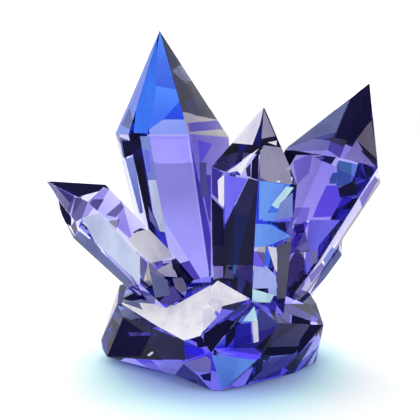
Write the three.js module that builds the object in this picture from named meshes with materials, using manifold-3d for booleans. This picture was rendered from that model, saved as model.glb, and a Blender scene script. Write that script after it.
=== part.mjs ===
// A cluster of clear violet crystals on a faceted foot, grown together as one solid.
// Millimetres, +Z up, the front toward -Y, the origin at the middle of the footprint.

import * as THREE from "three";
import { ConvexGeometry } from "three/addons/geometries/ConvexGeometry.js";
import { mergeVertices } from "three/addons/utils/BufferGeometryUtils.js";
import Module from "manifold-3d";

// Each crystal is a six-sided club: it widens from its root to its shoulder, then closes in a point.
// root, shoulder: middles of the two rings; tip: the point; radius: the shoulder's corner radius;
// taper: root ring over shoulder ring; corners: turn about the axis from the front (degrees, toward
// +X) and rise along the axis (mm) of each shoulder corner.
const tallCrystal = {
  root: [-4, 11, 14],
  shoulder: [-14.3, 15, 77.3],
  tip: [-18.3, 18, 113],
  radius: 19.6,
  taper: 0.8,
  corners: [[19, -1], [80, -4], [139, -2.5], [199, 1], [261, 3.5], [317, 2]],
};

const centreCrystal = {
  root: [11.8, -8, 14],
  shoulder: [14.1, -11, 66.1],
  tip: [16.1, -12, 87.3],
  radius: 15.8,
  taper: 0.84,
  corners: [[-2, 0], [49, -1.5], [128, -1], [180, 0], [232, 1], [289, 2]],
};

const leftCrystal = {
  root: [-6, -1.3, 17.8],
  shoulder: [-41.4, 0, 52.6],
  tip: [-56, 4, 62.2],
  radius: 10.4,
  taper: 0.86,
  corners: [[21, 2], [87, 2], [147, 0.5], [207, -1], [266, -2.5], [336, -1.5]],
};

const rightCrystal = {
  root: [18, 3, 18.5],
  shoulder: [41.5, 5, 68.8],
  tip: [52.5, 7, 94.9],
  radius: 17.9,
  taper: 0.52,
  corners: [[-7, 1], [37, 3.5], [102, 0], [163, 0], [223, -1], [280, -3.5]],
};

const smallCrystal = {
  root: [24.6, 12, 17],
  shoulder: [40.6, 18, 38.5],
  tip: [46.5, 20, 47.2],
  radius: 6.4,
  taper: 0.9,
  corners: [[30, 0], [90, 0], [150, 0], [210, 0], [270, 0], [330, 0]],
};

// The foot is two convex blocks that share their corners: ground, then girdle, rim and crown.
const girdleFront = [-0.7, -28.5, 12.2];
const girdleMiddle = [-8.8, -24.8, 8.2];
const rimLeft = [-9.1, -24, 14.8];
const rimFront = [-4.1, -25.6, 16.7];
const crownFront = [1.6, -11, 30.8];
const crownBack = [-6, 14, 33];
const groundLeft = [-12.5, -11.8, 0];
const groundBack = [-6, 37, 0];

const leftBlock = [
  groundLeft, groundBack, [-31, 14, 0], [-23.3, 1.1, 0], [-2, -18, 0], [20, 20, 0], [-26, 29, 0],
  girdleMiddle, girdleFront, [-36.2, 2.4, 2], [-38.3, 7, 3.5], [-39, 9, 6.2], [-37, 20, 7],
  [-26, 34, 9], [-4, 41, 8],
  rimLeft, rimFront, [-30.2, -2.5, 17.3], [-32.6, 2.5, 20.3], [-33.4, 8, 19.6], [-32.8, 14, 24.7],
  [-29, 16, 24.8], [-14, 32, 24], [-11.7, -11, 22.9],
  crownFront, crownBack, [10, 20, 30],
];

const frontBlock = [
  groundLeft, groundBack, [-0.7, -27.4, 0], [2.7, -28.3, 0], [13.3, -19.4, 0], [26.9, -9.1, 0],
  [35.5, 4, 0], [34, 20, 0], [20, 34, 0],
  girdleMiddle, girdleFront, [14.3, -25, 9.5], [28.6, -10, 6.9], [36.9, -4.4, 14.9], [36, 24, 9],
  [22, 38, 9],
  rimLeft, rimFront, [10.9, -23, 27.5], [12.7, -23.8, 26.7], [20.3, -22.5, 20.1], [35.3, 3, 20.4],
  [33.3, 7, 23.3], [30, 22, 22], [12, 33, 23],
  crownFront, crownBack, [18, 14, 31],
];

// Moves the middle of the cluster's box onto the Z axis.
const centring = [-0.65, -6.25, 0];

const violetCrystal = new THREE.MeshStandardMaterial({
  name: "violet crystal",
  color: 0x6a5ad8,
  roughness: 0.04,
  metalness: 0,
  transparent: true,
  opacity: 0.6,
});

const cornerCount = 6;

function crystalGeometry({ root, shoulder, tip, radius, taper, corners }) {
  const rootMiddle = new THREE.Vector3(...root);
  const shoulderMiddle = new THREE.Vector3(...shoulder);
  const axis = shoulderMiddle.clone().sub(rootMiddle).normalize();
  const front = new THREE.Vector3(0, -1, 0).projectOnPlane(axis).normalize();
  const side = axis.clone().cross(front);

  // Offsets of the shoulder corners from their middle; the root ring is the same ring made smaller.
  const offsets = corners.map(([turn, rise]) => {
    const angle = THREE.MathUtils.degToRad(turn);
    return new THREE.Vector3()
      .addScaledVector(front, radius * Math.cos(angle))
      .addScaledVector(side, radius * Math.sin(angle))
      .addScaledVector(axis, rise);
  });
  const points = [
    ...offsets.map((offset) => shoulderMiddle.clone().add(offset)),
    ...offsets.map((offset) => rootMiddle.clone().addScaledVector(offset, taper)),
    new THREE.Vector3(...tip),
    rootMiddle,
  ];
  const tipIndex = 2 * cornerCount;
  const middleIndex = tipIndex + 1;

  const faces = [];
  for (let k = 0; k < cornerCount; k += 1) {
    const next = (k + 1) % cornerCount;
    faces.push(k, next, tipIndex);
    faces.push(k, k + cornerCount, next + cornerCount);
    faces.push(k, next + cornerCount, next);
    faces.push(middleIndex, next + cornerCount, k + cornerCount);
  }
  const geometry = new THREE.BufferGeometry().setFromPoints(points);
  geometry.setIndex(faces);
  return geometry;
}

function blockGeometry(corners) {
  return new ConvexGeometry(corners.map((corner) => new THREE.Vector3(...corner)));
}

const wasm = await Module();
wasm.setup();

function solidOf(geometry) {
  geometry.deleteAttribute("normal");
  const merged = mergeVertices(geometry, 1e-4);
  return new wasm.Manifold(
    new wasm.Mesh({
      numProp: 3,
      vertProperties: new Float32Array(merged.getAttribute("position").array),
      triVerts: new Uint32Array(merged.getIndex().array),
    }),
  );
}

function geometryOf(solid) {
  const mesh = solid.getMesh();
  const geometry = new THREE.BufferGeometry();
  geometry.setAttribute("position", new THREE.BufferAttribute(mesh.vertProperties, 3));
  geometry.setIndex(new THREE.BufferAttribute(mesh.triVerts, 1));
  const faceted = geometry.toNonIndexed();
  faceted.computeVertexNormals();
  return faceted;
}

const crystals = [tallCrystal, centreCrystal, leftCrystal, rightCrystal, smallCrystal];
const blocks = [leftBlock, frontBlock];
const solids = [...blocks.map(blockGeometry), ...crystals.map(crystalGeometry)].map(solidOf);
const fused = solids.reduce((joined, solid) => joined.add(solid));

const cluster = new THREE.Mesh(geometryOf(fused), violetCrystal);
cluster.name = "crystal_cluster";
cluster.position.set(...centring);

const part = new THREE.Group();
part.add(cluster);

export default part;
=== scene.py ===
import math
import random

import bmesh
import bpy
from mathutils import Euler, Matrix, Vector, geometry
from mathutils.bvhtree import BVHTree


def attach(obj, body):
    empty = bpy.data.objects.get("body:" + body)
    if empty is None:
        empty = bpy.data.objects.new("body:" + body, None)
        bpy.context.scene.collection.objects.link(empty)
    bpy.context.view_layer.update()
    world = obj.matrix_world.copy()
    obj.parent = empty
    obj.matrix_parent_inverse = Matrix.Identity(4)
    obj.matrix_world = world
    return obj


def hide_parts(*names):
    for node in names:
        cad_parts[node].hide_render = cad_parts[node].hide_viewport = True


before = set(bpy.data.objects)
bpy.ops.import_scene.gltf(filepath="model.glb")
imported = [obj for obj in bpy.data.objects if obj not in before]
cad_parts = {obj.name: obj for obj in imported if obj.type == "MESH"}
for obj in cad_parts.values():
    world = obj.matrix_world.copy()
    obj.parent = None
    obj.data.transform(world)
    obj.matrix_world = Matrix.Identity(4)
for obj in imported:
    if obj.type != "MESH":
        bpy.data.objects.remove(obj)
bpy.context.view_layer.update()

# Looks of a clear violet crystal cluster. Metres, +Z up, the front toward -Y.

scene = bpy.context.scene
millimetre = 0.001
mixShare, mixFirst, mixSecond, mixResult = 0, 6, 7, 2  # sockets of a colour mix, whose names repeat


def linear(hexColour):  # sRGB hex text to linear RGBA
    channels = [int(hexColour[k:k + 2], 16) / 255 for k in (0, 2, 4)]
    return [c / 12.92 if c <= 0.04045 else ((c + 0.055) / 1.055) ** 2.4 for c in channels] + [1.0]


def addNode(tree, kind, sockets=None, links=None, **settings):
    node = tree.nodes.new(kind)
    for name, value in settings.items():
        setattr(node, name, value)
    for name, value in (sockets or {}).items():
        node.inputs[name].default_value = value
    for name, source in (links or {}).items():
        tree.links.new(source, node.inputs[name])
    return node


def newMaterial(name):
    material = bpy.data.materials.new(name)
    material.use_nodes = True
    material.node_tree.nodes.clear()
    return material, material.node_tree


def addPiece(name, mesh):
    piece = bpy.data.objects.new(name, mesh)
    scene.collection.objects.link(piece)
    return piece


# Where the photograph was taken from, judged by its outlines. The zones of painted reflection,
# refraction and shade are laid on the faces from there, and the camera stands there.
viewpoint = {
    "place": (-0.00165, -0.31493, 0.0909),
    "turn": (math.radians(83), 0, 0),
    "lens": 80,  # mm
    "sensor": 36,  # mm
    "photoWidth": 420,  # pixels
}

sameWay = 0.9998  # cosine between the normals of two faces that lie on one plane
planeGap = 0.15 * millimetre  # how far apart two faces on one plane may be
weldDistance = 0.001 * millimetre
cutDistance = 0.0001 * millimetre  # a corner this near to a cut is taken as on it
flatAngle = math.radians(0.5)  # triangles that bend less than this become one face


def pointInside(face):  # also where the face isn't convex
    corners = [vert.co for vert in face.verts]
    triangles = [[corners[k] for k in three] for three in geometry.tessellate_polygon([corners])]
    largest = max(triangles, key=lambda t: (t[1] - t[0]).cross(t[2] - t[0]).length)
    return sum(largest, Vector()) / 3


def sightLine(pixel):  # from the viewpoint through a pixel of the photograph
    across, down = ((value / viewpoint["photoWidth"] - 0.5) * viewpoint["sensor"] / viewpoint["lens"]
                    for value in pixel)
    return Euler(viewpoint["turn"]).to_matrix() @ Vector((across, -down, -1))


def seenAt(place):  # the pixel where a place is seen
    local = Euler(viewpoint["turn"]).to_matrix().inverted() @ (place - Vector(viewpoint["place"]))
    middle = viewpoint["photoWidth"] / 2
    scale = viewpoint["photoWidth"] * viewpoint["lens"] / viewpoint["sensor"] / -local.z
    return middle + local.x * scale, middle - local.y * scale


def withinOutline(pixel, outline):
    x, y = pixel
    inside = False
    for (x0, y0), (x1, y1) in zip(outline, outline[1:] + outline[:1]):
        if (y0 > y) != (y1 > y) and x < x0 + (y - y0) / (y1 - y0) * (x1 - x0):
            inside = not inside
    return inside


def cutFaces(bm, faces, place, normal):
    edges = {edge for face in faces for edge in face.edges}
    verts = {vert for face in faces for vert in face.verts}
    bmesh.ops.bisect_plane(bm, geom=faces + list(edges) + list(verts), dist=cutDistance,
                           plane_co=place, plane_no=normal)


def onPlane(point, facing, place, normal):
    return facing.dot(normal) > sameWay and abs((point - place).dot(normal)) < planeGap


def facesOnPlane(bm, place, normal):
    return [face for face in bm.faces if onPlane(face.verts[0].co, face.normal, place, normal)]


def paintFace(face, layer, tint):
    skins = paintedLightSkins["tints"]
    face.material_index = 1 if tint in skins else 0
    for loop in face.loops:
        loop[layer] = linear((grownCrystals["tints"] | skins)[tint])


def paintLightZone(bm, layer, tint, outline):
    eye = Vector(viewpoint["place"])
    middle = [sum(values) / len(outline) for values in zip(*outline)]
    place, normal, _, _ = BVHTree.FromBMesh(bm).ray_cast(eye, sightLine(middle))
    if place is None:
        print("  no face behind", tint, outline)
        return
    if len(outline) > 1:
        for start, end in zip(outline, outline[1:] + outline[:1]):
            across = sightLine(start).cross(sightLine(end)).normalized()
            cutFaces(bm, facesOnPlane(bm, place, normal), eye, across)
    for face in facesOnPlane(bm, place, normal):
        if len(outline) == 1 or withinOutline(seenAt(pointInside(face)), outline):
            paintFace(face, layer, tint)


def crystalAt(place):  # which crystal, or the foot, a point on the surface belongs to
    def reach(name):
        root, tip = (Vector(grownCrystals["shards"][name][end]) * millimetre for end in ("root", "tip"))
        share = min(max((place - root).dot(tip - root) / (tip - root).length_squared, 0), 1)
        return (place - root.lerp(tip, share)).length / grownCrystals["shards"][name]["radius"]
    return min(grownCrystals["shards"], key=reach)


# Cuts the faces that point away from the front into shards, tinted with painted reflections and shade
# mixed with the crystal's own violet. Near edge-on and underneath they stay clear.
def colourBack(bm, layer):
    edgeOn, underside = 0.02, -0.9
    done = []
    draws = {name: random.Random(crystal["seed"]) for name, crystal in grownCrystals["shards"].items()}
    for face in list(bm.faces):
        if not face.is_valid or face.normal.y < edgeOn or face.normal.z < underside:
            continue
        place, normal = face.verts[0].co.copy(), face.normal.copy()
        if any(onPlane(earlier, facing, place, normal) for earlier, facing in done):
            continue
        done.append((place, normal))
        name = crystalAt(pointInside(face))
        draw = draws[name]
        for cut in range(grownCrystals["shards"][name]["cuts"]):
            through = pointInside(draw.choice(facesOnPlane(bm, place, normal)))
            along = normal.cross(Vector([draw.uniform(-1, 1) for axis in range(3)])).normalized()
            cutFaces(bm, facesOnPlane(bm, place, normal), through, along)
        for shard in facesOnPlane(bm, place, normal):
            paintFace(shard, layer, draw.choice(grownCrystals["shards"][name]["tints"]))


def meshOf(bm, name, material):
    mesh = bpy.data.meshes.new(name)
    bm.to_mesh(mesh)
    for polygon in mesh.polygons:
        polygon.material_index = 0
    mesh.materials.append(material)
    return mesh


print("clear crystal")
# Tints of the shards: repeated names come up more often.
paleShards = ["clear"] * 5 + ["lavender"]
mixedShards = ["clear"] * 8 + ["lavender"] * 3 + ["violet"] * 2
mixedShards += ["indigo", "night", "azure", "dusk", "smoke"]

grownCrystals = {
    "edgeWear": 0.18,  # mm
    "wornFrom": 8,  # degrees between two faces
    # The clear-zone tints paint reflections, refracted images and shade; violet, lavender and lilac are
    # also the crystal's own colour.
    "tints": {  # what a clear zone lets through
        "clear": "ffffff",
        "azure": "297cff",
        "deepBlue": "0b38dd",
        "smoke": "d8cc70",
        "dusk": "6f6a60",
        "plum": "323055",
        "night": "030311",
        "ink": "130f22",
        "indigo": "29197c",
        "violet": "553ed1",
        "lavender": "9584c5",
        "lilac": "ccc4fa",
        "sky": "b8f0ff",
        "steel": "7f8a98",
        "teal": "1a4a6a",
        "cobalt": "4a74b8",
    },
    # The shards seen inside are tinted pieces of the back faces: painted images of other faces, the
    # room and shade, mixed with the crystal's own violet tints. Each crystal has its ends and its
    # radius in mm, then the seed, the cuts through each back face and the tints of its shards.
    "shards": {
        "tall": {"root": (-4.6, 4.7, 14), "tip": (-19, 11.7, 113), "radius": 19.6,
                 "seed": 21, "cuts": 1, "tints": paleShards},
        "centre": {"root": (11.1, -14.2, 14), "tip": (15.4, -18.2, 87.3), "radius": 15.8,
                   "seed": 14, "cuts": 3, "tints": mixedShards},
        "left": {"root": (-6.6, -7.5, 17.8), "tip": (-56.6, -2.2, 62.2), "radius": 10.4,
                 "seed": 3, "cuts": 2, "tints": mixedShards},
        "right": {"root": (17.3, -3.2, 18.5), "tip": (51.8, 0.7, 94.9), "radius": 17.9,
                  "seed": 19, "cuts": 2, "tints": mixedShards},
        "small": {"root": (24, 5.8, 17), "tip": (45.8, 13.8, 47.2), "radius": 6.4,
                  "seed": 19, "cuts": 2, "tints": mixedShards},
        "foot": {"root": (-30, 2, 14), "tip": (30, 2, 14), "radius": 22.0,
                 "seed": 16, "cuts": 2, "tints": mixedShards},
    },
    "ior": 1.54,  # as quartz
    "roughness": 0.0,
    "mirrorTint": "6c6890",
    "bodyColour": "6458e2",
    "absorption": 40.0,  # per metre
    "veilColour": "b8b0e0",
    "veilSize": 14,  # mm
    "veilStrength": 0.35,
    "lineSpacing": 1.2,  # mm
    "lineDepth": 0.03,  # mm
    "lineStrength": 0.06,
}

# Clear violet crystal, its faces as they grew: smooth and flat, so they bend and mirror what is
# behind them. Faint milky veils dull it here and there, and shallow growth lines make the mirror
# images waver. The lines are drawn coarser than real ones, so that they show.
clearCrystal, tree = newMaterial("clear violet crystal, natural growth faces")
where = addNode(tree, "ShaderNodeTexCoord")
veil = addNode(tree, "ShaderNodeTexNoise", {
    "Scale": 1 / (grownCrystals["veilSize"] * millimetre),
    "Detail": 4.0,
}, {"Vector": where.outputs["Object"]})
veilAmount = addNode(tree, "ShaderNodeMapRange", {
    "From Min": 0.45,
    "From Max": 0.75,
    "To Max": grownCrystals["veilStrength"],
}, {"Value": veil.outputs["Fac"]})
# The zone and shard tints: painted reflections, refracted images and shade over the crystal's own
# violet.
paintedZoneTint = addNode(tree, "ShaderNodeAttribute", attribute_name="tint")
veiled = addNode(tree, "ShaderNodeMix", {mixSecond: linear(grownCrystals["veilColour"])},
                 {mixShare: veilAmount.outputs["Result"], mixFirst: paintedZoneTint.outputs["Color"]},
                 data_type="RGBA", blend_type="MULTIPLY")
waveLength = math.pi / 10  # of a wave texture at a scale of 1
growthLines = addNode(tree, "ShaderNodeTexWave", {
    "Scale": waveLength / (grownCrystals["lineSpacing"] * millimetre),
    "Distortion": 3.0,
    "Detail": 2.0,
    "Detail Scale": 0.3,
}, {"Vector": where.outputs["Object"]}, bands_direction="Z")
relief = addNode(tree, "ShaderNodeBump", {
    "Strength": grownCrystals["lineStrength"],
    "Distance": grownCrystals["lineDepth"] * millimetre,
}, {"Height": growthLines.outputs["Fac"]})
surface = addNode(tree, "ShaderNodeBsdfPrincipled", {
    "Transmission Weight": 1.0,
    "IOR": grownCrystals["ior"],
    "Specular Tint": linear(grownCrystals["mirrorTint"]),
    "Roughness": grownCrystals["roughness"],
}, {"Base Color": veiled.outputs[mixResult], "Normal": relief.outputs["Normal"]})
body = addNode(tree, "ShaderNodeVolumeAbsorption", {
    "Color": linear(grownCrystals["bodyColour"]),
    "Density": grownCrystals["absorption"],
})
addNode(tree, "ShaderNodeOutputMaterial", None,
        {"Surface": surface.outputs["BSDF"], "Volume": body.outputs["Volume"]})

print("painted light skin material")
paintedLightSkins = {
    "thickness": 0.1,  # mm
    "lift": 1.3,  # 1 lays the skin on the face, more lifts it off
    # Skin tints are painted light: white and pale ones paint highlights and reflections, dark ones
    # paint shade, blue ones the refracted blue light.
    "tints": {  # what a skin reflects
        "frost": "fffdff",
        "haze": "eae6f4",
        "dove": "a09cb8",
        "umber": "706a7e",
        "slate": "7078a4",
        "mist": "8698dc",
        "pale": "dae4ff",
        "periwinkle": "b0bcff",
        "shale": "5e5e72",
        "mauve": "8a80c8",
        "iris": "8078ff",
        "ice": "4480ff",
        "brook": "74a4ff",
        "glacier": "cdf4ff",
        "soot": "1c1a3c",
    },
    "roughness": 0.5,
    # Darker upright streaks over the skins: painted streaky sheen.
    "sheenStreakColour": "cfc8e2",
    "sheenStreakSize": (9, 9, 22),  # mm
    "sheenStreakStrength": 0.75,
}

# Matt skin laid just off some faces in place of their mirror image. Its colours are painted highlights,
# reflections and shade, with painted streaky sheen in upright patches, where the clear faces show what
# is behind them.
paintedLightSkinMaterial, tree = newMaterial("matt skin of painted reflections and shade")
where = addNode(tree, "ShaderNodeTexCoord")
stretch = addNode(tree, "ShaderNodeMapping", {
    "Scale": [1 / (size * millimetre) for size in paintedLightSkins["sheenStreakSize"]],
}, {"Vector": where.outputs["Object"]})
sheenStreak = addNode(tree, "ShaderNodeTexNoise", {
    "Scale": 1.0,
    "Detail": 4.0,
    "Roughness": 0.6,
}, {"Vector": stretch.outputs["Vector"]})
sheenStreakAmount = addNode(tree, "ShaderNodeMapRange", {
    "From Min": 0.4,
    "From Max": 0.7,
    "To Max": paintedLightSkins["sheenStreakStrength"],
}, {"Value": sheenStreak.outputs["Fac"]})
paintedZoneTint = addNode(tree, "ShaderNodeAttribute", attribute_name="tint")
sheenStreaked = addNode(tree, "ShaderNodeMix", {mixSecond: linear(paintedLightSkins["sheenStreakColour"])},
                  {mixShare: sheenStreakAmount.outputs["Result"], mixFirst: paintedZoneTint.outputs["Color"]},
                  data_type="RGBA", blend_type="MULTIPLY")
skin = addNode(tree, "ShaderNodeBsdfPrincipled", {
    "Roughness": paintedLightSkins["roughness"],
    "Specular IOR Level": 0.0,
}, {"Base Color": sheenStreaked.outputs[mixResult]})
addNode(tree, "ShaderNodeOutputMaterial", None, {"Surface": skin.outputs["BSDF"]})

print("painted light zones")
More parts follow.
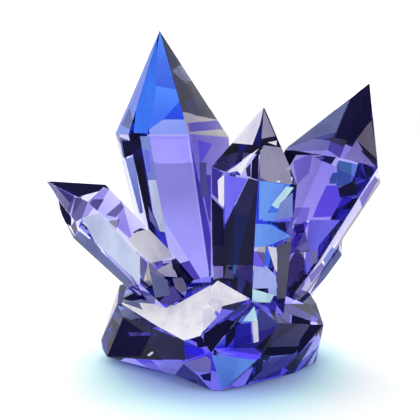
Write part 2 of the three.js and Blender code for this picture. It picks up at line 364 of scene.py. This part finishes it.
# Zones of painted reflection, refracted image and shade on the growth faces: a tint, and an outline
# given in pixels of the 420 by 420 photograph, to a quarter pixel. A single point colours the whole
# face behind it.
# A later zone covers an earlier one.
paintedLightZones = {
    "tall crystal": [
        ("azure", [(165, 82.5)]),
        ("deepBlue", [(163, 119.5), (186.25, 119.5), (184, 96.25)]),
        ("sky", [(142, 135), (163, 119.5), (187.5, 119.5), (189.5, 135)]),
        ("smoke", [(195, 100)]),
        ("night", [(158, 25), (167, 45), (162.5, 42)]),
        ("ice", [(157.5, 33.75), (155.5, 92.5), (147.5, 133.5), (133.75, 133), (140, 75)]),
        ("indigo", [(187.5, 123), (220, 120), (226.25, 128.75), (190, 132)]),
        ("mist", [(130, 112.5)]),
        ("lilac", [(139, 136.25), (187, 136.25), (209.5, 282.5), (207, 290), (162.5, 217.5)]),
        ("lavender", [(195, 160)]),
        ("ink", [(127.5, 134), (139, 134), (152.5, 215), (163.75, 237.5), (146.25, 215)]),
        ("indigo", [(189.25, 135), (197.5, 175), (208.75, 225), (213, 250), (210.5, 281.25),
                   (200, 209)]),
        ("slate", [(119.5, 137), (128, 140), (126.25, 160), (123, 156.25)]),
        ("indigo", [(200, 175), (212.5, 175), (212.5, 225), (208.75, 220)]),
        ("violet", [(197.5, 140), (212.5, 143.75), (200, 165)]),
        ("mist", [(140, 136.25), (149.5, 136.25), (156.25, 180), (148, 180)]),
        ("pale", [(148, 180), (156.25, 180), (160, 200), (166.25, 232.5), (160, 231.25), (153, 212.5)]),
        ("soot", [(122, 140.5), (133.25, 140.5), (132.5, 155), (125, 157.5)]),
        ("mist", [(125.5, 159.25), (133.25, 156.25), (143, 212.5), (140, 213.75)]),
        ("mauve", [(148, 205.5), (151.5, 212.5), (159.5, 231.25), (150, 220)]),
        ("indigo", [(180.5, 263), (189.25, 260.5), (200, 278), (197, 284.5), (185.5, 277.5)]),
        ("slate", [(121.5, 125), (130, 107.5), (136.25, 133)]),
        ("plum", [(199.25, 162.5), (206.25, 162.5), (207, 186.25), (200, 187.5)]),
        ("plum", [(199.25, 182), (207, 181.25), (208.75, 197), (200.5, 197.5)]),
        ("iris", [(144.5, 150), (149, 150), (151, 172.5), (147.5, 172.5)]),
    ],
    "left crystal": [
        ("lilac", [(87.5, 200), (107.5, 186.25), (146.25, 226.25), (130, 237.5), (102.5, 215)]),
        ("soot", [(45, 178.75), (103, 182.5), (110, 187), (98.75, 191.25), (75, 197.5)]),
        ("plum", [(47, 181.25), (75, 197.5), (65.5, 225)]),
        ("plum", [(75, 197.5), (100, 200), (87.5, 215), (70, 225)]),
        ("indigo", [(61.25, 217.5), (75, 238.75), (120, 282.5), (143.75, 293.75), (110, 265),
                   (77.5, 230)]),
        ("plum", [(92.5, 199.25), (104.25, 199.25), (97.5, 210.5), (85, 211.25)]),
        ("lilac", [(104.25, 216.75), (118, 203.75), (131.25, 211.25), (107.5, 218)]),
        ("dusk", [(108, 221.25), (120, 219.25), (116.25, 228.75)]),
        ("night", [(132.5, 232.5), (140, 228), (146.25, 229.25), (135, 233)]),
        ("frost", [(128.75, 238.75), (136.25, 232), (152.5, 228.75), (162.5, 237.5), (172.5, 257.5),
                   (148, 264), (130, 246.25)]),
        ("plum", [(136.25, 251.25), (147.5, 263), (143.75, 286.25), (138.75, 270)]),
        ("smoke", [(147.5, 264.5), (172.5, 260), (190, 292.5), (172.5, 306.25), (140, 297.5)]),
        ("haze", [(156.25, 270), (171.25, 262.5), (177.5, 277.5), (165, 276.25)]),
        ("dove", [(172.5, 278.75), (182.5, 277.5), (187.5, 290), (177.5, 295)]),
        ("night", [(171.25, 260), (177.5, 257.5), (198.75, 282.5), (195, 288.75), (185, 281.25),
                   (172.5, 268.75)]),
        ("soot", [(58.75, 201.25), (71.25, 217.5), (71.25, 226.25), (63.75, 221.25)]),
        ("umber", [(71.25, 226.25), (75, 220), (78, 232.5), (75, 235)]),
        ("pale", [(82, 217.5), (100.5, 213), (130, 246.25), (140, 255.5), (140, 285), (105, 261.25)]),
        ("slate", [(79.5, 231.25), (87.5, 237.5), (107.5, 257.5), (133.75, 283.75), (128.75, 285.5),
                   (98.75, 260), (75, 237.5)]),
        ("slate", [(150, 272.5), (167.5, 280), (170, 295), (155, 297.5)]),
        ("plum", [(141.25, 290), (155, 295), (155, 303.75), (142.5, 303.75)]),
        ("slate", [(85, 239.5), (91.5, 238.75), (101.25, 250), (98, 253.75)]),
        ("mauve", [(106, 215), (120, 203), (124, 207), (116, 217.5)]),
    ],
    "centre crystal": [
        ("haze", [(263.75, 107.5), (231.25, 143), (252.5, 145), (260, 125)]),
        ("night", [(231.25, 143), (260, 145.5), (259.5, 150), (212.5, 163.75), (212.5, 160)]),
        ("indigo", [(237.5, 143.75), (255, 146.25), (240, 155)]),
        ("frost", [(227.5, 172.5), (258.75, 148.75), (250, 158.75), (241.25, 175), (237.5, 171.25)]),
        ("frost", [(218, 180), (224.25, 175), (224.25, 207.5), (218.75, 202.5)]),
        ("iris", [(224.75, 175), (247.5, 178.75), (225, 225)]),
        ("night", [(247.5, 180), (258.75, 160), (256.25, 247.5), (220, 247.5), (223.75, 231.25),
                   (225, 226.25)]),
        ("dusk", [(215, 250), (253.75, 250), (253, 297.5), (215, 287.5)]),
        ("smoke", [(270, 155)]),
        ("dove", [(263.75, 110), (275, 136.25), (261.25, 138.75)]),
        ("dove", [(260, 150), (282.5, 150), (290, 165), (275, 185), (260, 177.5)]),
        ("night", [(262.5, 110), (260, 131.25), (256.25, 143.75), (273.75, 137.5), (265, 143.75),
                   (261.25, 146.25)]),
        ("frost", [(267.5, 142.5), (276.75, 140.75), (276.25, 145.5)]),
        ("frost", [(275, 182.25), (289.5, 176), (292.5, 178), (291.5, 184), (281.25, 183)]),
        ("azure", [(257.5, 180), (295, 185), (292, 220), (273.75, 222.5), (292.5, 236.25),
                   (271.25, 246.25), (255, 245)]),
        ("brook", [(259.25, 180.5), (285, 184.5), (270, 207.5), (265, 218.75), (258.75, 220)]),
        ("iris", [(270, 221.25), (290, 200), (291.25, 221.25)]),
        ("brook", [(255.5, 223.75), (270, 224.5), (291.25, 236.25), (270, 245), (254.5, 247.5)]),
        ("night", [(268.75, 222), (285, 222.5), (287, 232.5)]),
        ("glacier", [(271.25, 205), (286.25, 186.25), (293.75, 187.5), (277.5, 208.75)]),
        ("dusk", [(277.5, 246.25), (303.75, 237.5), (305, 297.5), (277.5, 300)]),
        ("haze", [(267.5, 246.25), (276.25, 247.5), (278.75, 272.5), (275, 270)]),
        ("periwinkle", [(255, 255), (275, 275), (277.5, 287.5), (252.5, 288.75)]),
        ("periwinkle", [(266.25, 277.5), (276, 275), (276.5, 296.25), (268.75, 294.5)]),
        ("glacier", [(252.5, 288.75), (273.75, 295), (270, 302.5), (252, 302)]),
        ("frost", [(209.5, 288), (218, 280.5), (250, 298.75), (246.25, 301.25), (209.5, 295.5)]),
        ("soot", [(211.75, 197.5), (223.25, 209.5), (224.25, 250), (212.5, 252.5)]),
        ("indigo", [(212, 166.25), (223.25, 173), (218, 180.5), (218.75, 200), (212, 193.75)]),
        ("soot", [(252, 161.25), (259, 151.25), (258.25, 180), (251.25, 178)]),
        ("dove", [(263.75, 145.5), (280, 147.5), (282.5, 150), (261.25, 150)]),
        ("mist", [(280, 203), (292.5, 192.5), (292.5, 217), (275, 219.5)]),
        ("mauve", [(213, 266.25), (223.25, 266.25), (223.25, 277.5), (215.5, 278.75)]),
        ("night", [(212.5, 246), (256, 246), (253, 265), (212.5, 265)]),
        ("violet", [(253, 251.25), (265, 252.5), (264.5, 267.5), (253, 265.5)]),
        ("night", [(245.75, 168.75), (250.75, 162.5), (250.75, 177), (247, 176.25)]),
        ("dove", [(281.25, 167), (289.5, 170.5), (292, 183.75), (280.5, 183.75), (277.5, 175.5)]),
        ("brook", [(265, 212.5), (277.5, 213), (275, 220.5), (262.5, 221)]),
        ("night", [(213, 253), (223, 253), (223, 265), (213.75, 265)]),
        ("ink", [(211.5, 166.25), (233.75, 151.5), (255, 148), (257.5, 148.5), (225, 172.5)]),
        ("shale", [(277, 246.25), (291.25, 241.25), (291.25, 297.5), (277, 298.75)]),
    ],
    "right and small crystals": [
        ("steel", [(369.5, 82.5), (282.5, 150), (291.25, 151.75), (332.5, 150), (351.25, 102.5)]),
        ("soot", [(370.5, 80), (350, 100), (335, 137.5), (352.5, 141.25), (370, 117.5)]),
        ("indigo", [(331.25, 138.75), (352.5, 141.25), (341.25, 158.75), (327.5, 150)]),
        ("smoke", [(369.5, 84.25), (372.5, 120), (382.5, 175), (345, 140)]),
        ("umber", [(371, 120), (377.5, 160), (356.25, 140)]),
        ("mauve", [(343.75, 157.5), (355, 145), (376.25, 167.5)]),
        ("teal", [(337.5, 160), (352, 163), (350.5, 183.75), (336.25, 187.5)]),
        ("cobalt", [(352, 163), (376.25, 168.75), (374.25, 176), (350.5, 183.75)]),
        ("indigo", [(340, 187.5), (357.5, 183.75), (375, 176.5), (356.25, 196.25)]),
        ("soot", [(282.5, 150), (325, 151.25), (322.5, 155), (296.25, 155), (288.75, 167.5)]),
        ("violet", [(325, 185.5), (336.25, 185.5), (355, 193.75), (342.5, 216.25), (312.5, 217.5)]),
        ("iris", [(308.75, 220), (340, 220), (320, 243.75), (305, 262.5)]),
        ("slate", [(341.25, 237.5), (343.75, 258.75), (310, 293.75)]),
        ("iris", [(305.5, 261.25), (318.75, 245.5), (312.5, 265), (306.25, 275)]),
        ("lavender", [(293, 161.25), (313, 153), (309, 172.5), (297.5, 184.5)]),
        ("mauve", [(360, 198.75), (375, 176.25), (378, 179.5), (362.5, 207.5)]),
        ("lavender", [(293, 207.5), (310, 207.5), (306.25, 222.5), (293.75, 232.5)]),
        ("plum", [(294.5, 232.5), (303.75, 225), (310, 252.5), (298.75, 252.5)]),
        ("soot", [(338, 188), (352, 181.75), (356.25, 193.75), (340, 197.5)]),
        ("mauve", [(350, 150), (356.5, 140), (362.5, 150), (356.5, 156.25)]),
        ("plum", [(293, 223.75), (303.75, 223.75), (305, 233), (295.5, 233)]),
        ("mauve", [(309.5, 277), (322, 263), (324.5, 266.5), (311.5, 282)]),
        ("mist", [(323, 260), (332.5, 247), (335.5, 250), (325.5, 264)]),
        ("teal", [(329.5, 172.5), (337, 172.5), (336.25, 183.75), (329.5, 183.75)]),
        ("mauve", [(309.5, 252), (318, 250), (317, 262.5), (309.5, 265.5)]),
        ("soot", [(369.5, 84.25), (371.5, 120.5), (357.5, 136.25), (346.25, 143.75)]),
        ("slate", [(287.5, 147.5), (349, 99.5), (336.25, 132.5), (312.5, 139)]),
    ],
    "foot": [
        ("night", [(122.5, 308.75), (183.75, 338.75), (216.25, 351.25), (192.5, 360), (105, 358.75)]),
        ("soot", [(107.5, 356.25), (123.75, 318.75), (150, 336.25), (140, 356.25)]),
        ("indigo", [(176.25, 345), (202.5, 347.5), (205, 353.75), (187.5, 360), (181.25, 357.5)]),
        ("indigo", [(127.5, 332.5), (147.5, 332.5), (157.5, 335), (130, 336.25)]),
        ("haze", [(147.5, 355), (152.5, 351.25), (153.75, 353), (149.25, 356.25)]),
        ("dusk", [(100, 350), (120, 301.25), (123.75, 310), (107.5, 358.75)]),
        ("frost", [(117.5, 301.25), (175, 305.5), (218, 281.25), (250, 299.25), (217.5, 307.5),
                   (200, 336.25), (183.75, 342.5)]),
        ("haze", [(202.5, 310), (211.25, 307.5), (217, 317), (203.75, 331.25)]),
        ("haze", [(212.5, 298.75), (223.75, 301.25), (220, 313.75), (207.5, 303.75)]),
        ("plum", [(226.25, 307.5), (248, 303.75), (233.75, 321.25), (218.75, 317.5)]),
        ("soot", [(203.75, 332.5), (220, 317.5), (233.75, 321.25), (227.5, 331.25), (211.25, 352.5),
                   (203.75, 347.5)]),
        ("plum", [(107.5, 358.75), (180, 361.25), (212.5, 387.5), (212.5, 392.5)]),
        ("mauve", [(180, 363.75), (206.25, 356.25), (211.25, 360), (210.5, 371.25), (198.75, 372.5)]),
        ("night", [(200, 375), (211.75, 372.5), (211.25, 381.25), (203.75, 380)]),
        ("brook", [(212.5, 355), (257.5, 360), (231.25, 386.25), (213.75, 388.75)]),
        ("dusk", [(257.5, 360), (322.5, 348.75), (311.25, 363.75), (228.75, 391.25)]),
        ("dusk", [(258.75, 307.5), (282.5, 315), (270, 340), (258.75, 355), (225, 350),
                   (252.5, 342.5)]),
        ("ink", [(260, 322.5), (300, 322.5), (322.5, 327.5), (317.5, 348.75), (260, 360)]),
        ("soot", [(267.5, 347.5), (300, 346.25), (292.5, 355), (262.5, 355)]),
        ("soot", [(300, 340), (312.5, 322.5), (323.75, 322.5), (297.5, 355)]),
        ("plum", [(283.75, 301.25), (307.5, 298.75), (313.75, 320), (282.5, 315)]),
        ("glacier", [(242.5, 321.25), (254.25, 306.25), (257.5, 321.25)]),
        ("haze", [(251.75, 321.75), (257.5, 321.25), (258.75, 341.25), (253.5, 343)]),
        ("soot", [(226.25, 331.25), (235, 322), (241.25, 322.5), (236.25, 336.25), (225, 348.75)]),
        ("indigo", [(236.25, 325), (250.75, 322.5), (251.25, 342), (232.5, 350)]),
        ("dusk", [(277.5, 313), (290, 313), (290, 325), (275, 325)]),
        ("soot", [(292, 314.5), (310, 313), (310, 324.5), (291.25, 325)]),
        ("plum", [(260, 361.75), (285, 357.5), (280, 375), (250, 382.5)]),
        ("soot", [(123, 298.75), (134.5, 293), (141.5, 300), (130, 301)]),
        ("plum", [(306.25, 306.25), (321.25, 308.75), (320, 322.5), (308.75, 322.5)]),
        ("slate", [(122, 301.75), (139, 302.5), (143, 310), (125, 303.75)]),
        ("soot", [(195.5, 337), (204.5, 335.5), (207, 346.25), (198, 348.25)]),
    ],
}
bm = bmesh.new()
bm.from_mesh(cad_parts["crystal_cluster"].data)
bmesh.ops.remove_doubles(bm, verts=bm.verts, dist=weldDistance)
bmesh.ops.dissolve_limit(bm, angle_limit=flatAngle, verts=bm.verts, edges=bm.edges)
tintLayer = bm.loops.layers.float_color.new("tint")
for face in bm.faces:
    paintFace(face, tintLayer, "clear")
for crystal, zones in paintedLightZones.items():
    print("  on the", crystal)
    for tint, outline in zones:
        paintLightZone(bm, tintLayer, tint, outline)
colourBack(bm, tintLayer)
crystalMesh = meshOf(bm, "grown_crystals", clearCrystal)
clearFaces = [face for face in bm.faces if face.material_index == 0]
bmesh.ops.delete(bm, geom=clearFaces, context="FACES")
skinMesh = meshOf(bm, "painted_light_skins", paintedLightSkinMaterial)
bm.free()
print("  faces:", len(crystalMesh.polygons))

print("painted light skins")
# Skins of painted highlights, reflections and shade, just off the crystal faces.
skins = addPiece("painted_light_skins", skinMesh)
shell = skins.modifiers.new("skin", "SOLIDIFY")
shell.thickness = paintedLightSkins["thickness"] * millimetre
shell.offset = paintedLightSkins["lift"]
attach(skins, "root")

print("grown crystals")
crystals = addPiece("grown_crystals", crystalMesh)
bevel = crystals.modifiers.new("worn edges", "BEVEL")
bevel.width = grownCrystals["edgeWear"] * millimetre
bevel.segments = 1
bevel.limit_method = "ANGLE"
bevel.angle_limit = math.radians(grownCrystals["wornFrom"])
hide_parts("crystal_cluster")
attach(crystals, "root")

print("floor")
studioFloor = {
    "reach": 6.0,  # metres from the middle to a side
    "drop": 0.2,  # mm below the foot
    # A pool of blue light and shadow is painted into the floor colour round the middle.
    "paintedPoolSize": (53, 73),  # mm from the middle to the edge of the blue light, across and in depth
    # Painted colours of the blue light and shadow, from the middle at 0 to its edge at 1.
    "paintedPool": {0.42: "a8bef8", 0.51: "b2ccfa", 0.6: "bcdcfb", 0.68: "ccf0fc", 0.77: "dcfafb",
             0.9: "f0fcfb", 1.0: "f8faf8"},
    "roughness": 0.9,
}
reach = studioFloor["reach"]
floorMesh = bpy.data.meshes.new("floor")
floorMesh.from_pydata([(-reach, -reach, 0), (reach, -reach, 0), (reach, reach, 0), (-reach, reach, 0)],
                      [], [(0, 1, 2, 3)])
floor = addPiece("floor", floorMesh)
floor.location.z = -studioFloor["drop"] * millimetre

# White studio board, painted matt, with no mirror image. Round the middle its colour holds a painted
# pool of blue light and shadow, on top of the shadow and light that the lamps cast through the
# crystals.
board, tree = newMaterial("white studio floor with painted blue light and shadow")
where = addNode(tree, "ShaderNodeTexCoord")
spread = addNode(tree, "ShaderNodeMapping", {
    "Scale": [1 / (size * millimetre) for size in studioFloor["paintedPoolSize"]] + [1.0],
}, {"Vector": where.outputs["Object"]})
away = addNode(tree, "ShaderNodeVectorMath", None, {0: spread.outputs["Vector"]}, operation="LENGTH")
paintedPoolRamp = addNode(tree, "ShaderNodeValToRGB", None, {"Fac": away.outputs["Value"]})
stops = paintedPoolRamp.color_ramp.elements
places = list(studioFloor["paintedPool"])
stops[0].position, stops[1].position = places[0], places[-1]
for place in places[1:-1]:
    stops.new(place)
for stop, colour in zip(stops, studioFloor["paintedPool"].values()):
    stop.color = linear(colour)
paint = addNode(tree, "ShaderNodeBsdfPrincipled", {
    "Roughness": studioFloor["roughness"],
    "Specular IOR Level": 0.0,
}, {"Base Color": paintedPoolRamp.outputs["Color"]})
addNode(tree, "ShaderNodeOutputMaterial", None, {"Surface": paint.outputs["BSDF"]})
floorMesh.materials.append(board)

print("light")
softboxes = {  # places and sizes in metres, power in watts
    "key behind": {"place": (-0.02, 0.5, 0.7), "size": 0.5, "power": 2},
    "fill front left": {"place": (-0.35, -0.6, 0.55), "size": 0.3, "power": 1.6},
}
lightTarget = Vector((0, 0, 0.05))
for name, settings in softboxes.items():
    lamp = bpy.data.lights.new(name, "AREA")
    lamp.shape = "RECTANGLE"
    lamp.size = lamp.size_y = settings["size"]
    lamp.energy = settings["power"]
    box = addPiece(name, lamp)
    box.location = settings["place"]
    box.rotation_euler = (lightTarget - box.location).to_track_quat("-Z", "Y").to_euler()

# The room: dark in front and white behind, so that the crystals glow from behind and their dark
# shards show. The camera itself sees it white all round.
room = {
    "front": "3c3c46",
    "behind": "ffffff",
    "darkUntil": -0.7,  # on a scale from -1 in front to 1 behind
    "whiteFrom": 0.2,
    "strength": 1.6,
}
world = bpy.data.worlds.new("studio")
scene.world = world
world.use_nodes = True
tree = world.node_tree
tree.nodes.clear()
where = addNode(tree, "ShaderNodeTexCoord")
split = addNode(tree, "ShaderNodeSeparateXYZ", None, {"Vector": where.outputs["Generated"]})
ramp = addNode(tree, "ShaderNodeMapRange", {
    "From Min": room["darkUntil"],
    "From Max": room["whiteFrom"],
}, {"Value": split.outputs["Y"]})
shade = addNode(tree, "ShaderNodeMix", {
    mixFirst: linear(room["front"]),
    mixSecond: linear(room["behind"]),
}, {mixShare: ramp.outputs["Result"]}, data_type="RGBA")
ray = addNode(tree, "ShaderNodeLightPath")
seenShade = addNode(tree, "ShaderNodeMix", {mixSecond: linear(room["behind"])},
                    {mixShare: ray.outputs["Is Camera Ray"], mixFirst: shade.outputs[mixResult]},
                    data_type="RGBA")
glow = addNode(tree, "ShaderNodeBackground", {"Strength": room["strength"]},
               {"Color": seenShade.outputs[mixResult]})
addNode(tree, "ShaderNodeOutputWorld", None, {"Surface": glow.outputs["Background"]})

print("camera")
lens = bpy.data.cameras.new("camera")
lens.lens = viewpoint["lens"]
lens.sensor_width = viewpoint["sensor"]
camera = addPiece("camera", lens)
camera.location = viewpoint["place"]
camera.rotation_euler = viewpoint["turn"]
scene.camera = camera

# Light passes many faces on its way through the cluster.
bounces = {
    "max_bounces": 32,
    "transmission_bounces": 32,
    "glossy_bounces": 16,
}
for name, count in bounces.items():
    setattr(scene.cycles, name, count)
scene.view_settings.view_transform = "Standard"
